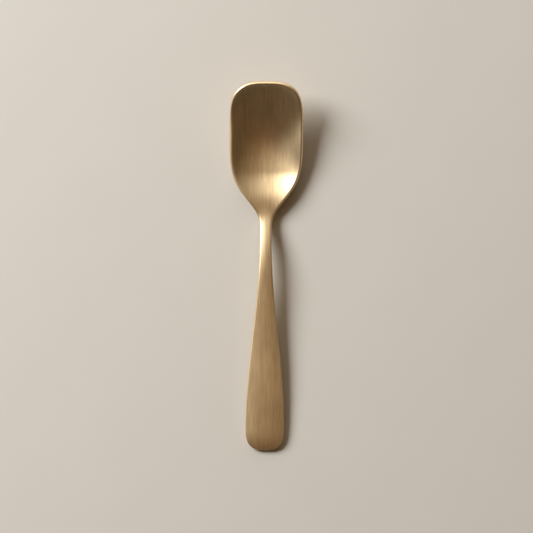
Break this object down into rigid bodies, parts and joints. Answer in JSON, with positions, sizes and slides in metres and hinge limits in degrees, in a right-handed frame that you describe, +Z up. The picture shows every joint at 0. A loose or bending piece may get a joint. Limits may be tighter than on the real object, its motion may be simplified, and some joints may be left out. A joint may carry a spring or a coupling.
{
  "type": "ice cream spoon",
  "caption": "Ice cream spoon with a broad, square-tipped bowl whose lip turns up, a flat shelf behind the hollow, a narrow arched neck and a flared, rounded handle.",
  "frame": {"origin": "on the table, below the middle of the spoon's length and width", "axes": "+Y along the spoon towards the tip of the bowl, +X to the right seen from above, +Z up from the table"},
  "size_m": [0.028, 0.14, 0.0144],
  "materials": {
    "brushed_gold": "stainless steel brushed lengthwise, with a champagne gold tint and a ground edge"
  },
  "bodies": {
    "root": {"spoon": "brushed_gold"}
  },
  "joints": []
}
